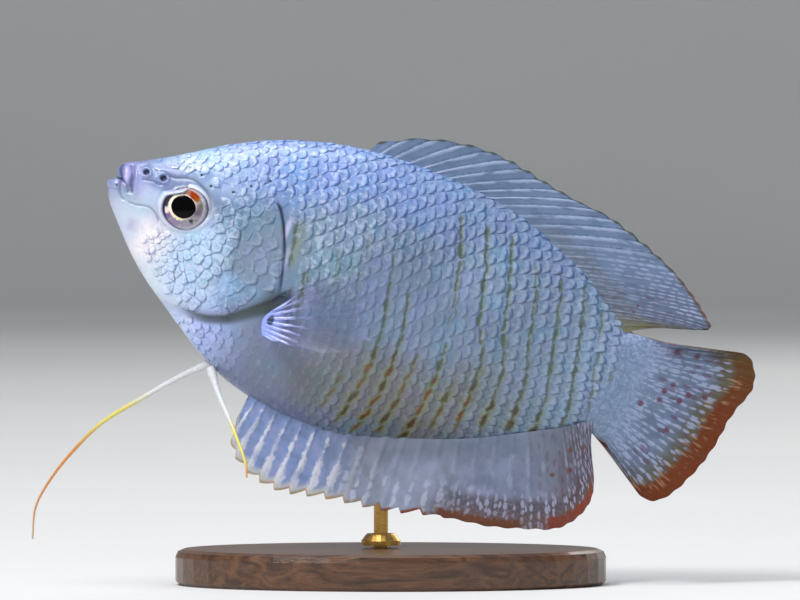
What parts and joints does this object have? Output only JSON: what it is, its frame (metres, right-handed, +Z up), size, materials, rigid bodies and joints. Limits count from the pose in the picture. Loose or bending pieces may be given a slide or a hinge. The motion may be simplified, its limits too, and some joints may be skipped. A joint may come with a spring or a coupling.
{
  "type": "dwarf gourami display model",
  "caption": "Life-size still model of a powder blue dwarf gourami, nose up, with long feelers, held by a rod over a small oval base.",
  "frame": {"origin": "centre of the model's box, on the floor under the base", "axes": "+X from the head towards the tail, +Y away from the fish's left flank, +Z up"},
  "size_m": [0.0812, 0.034, 0.0497],
  "materials": {
    "scaled_skin": "painted fish skin under scales, powder blue with thin rust and olive dashed bars, satin and wet-looking",
    "lip_skin": "smooth painted lips, pale lavender, satin",
    "gill_plate": "painted gill cover under scales, icy blue, satin",
    "eye_ball": "gloss black pupil in a gold and silver iris, clear glossy cornea",
    "fin_membrane": "thin translucent lavender membrane with pale rays, dark spots and an orange-red edge, satin",
    "pectoral_membrane": "nearly clear membrane with lavender rays, satin",
    "feeler_skin": "thin thread, white at the root, yellow and then orange towards the tip, satin",
    "stand_walnut": "dark walnut, satin lacquer",
    "stand_brass": "brushed brass"
  },
  "bodies": {
    "root": {"head": "scaled_skin", "upper_lip": "lip_skin", "lower_jaw": "lip_skin", "gill_cover_left": "gill_plate", "gill_cover_right": "gill_plate", "eye_left": "eye_ball", "eye_right": "eye_ball", "trunk": "scaled_skin", "tail_stalk": "scaled_skin", "dorsal_fin": "fin_membrane", "anal_fin": "fin_membrane", "caudal_fin": "fin_membrane", "pectoral_fin_left": "pectoral_membrane", "pectoral_fin_right": "pectoral_membrane", "feeler_left": "feeler_skin", "feeler_right": "feeler_skin", "stand_base": "stand_walnut", "stand_rod": "stand_brass", "stand_collar": "stand_brass"}
  },
  "joints": []
}
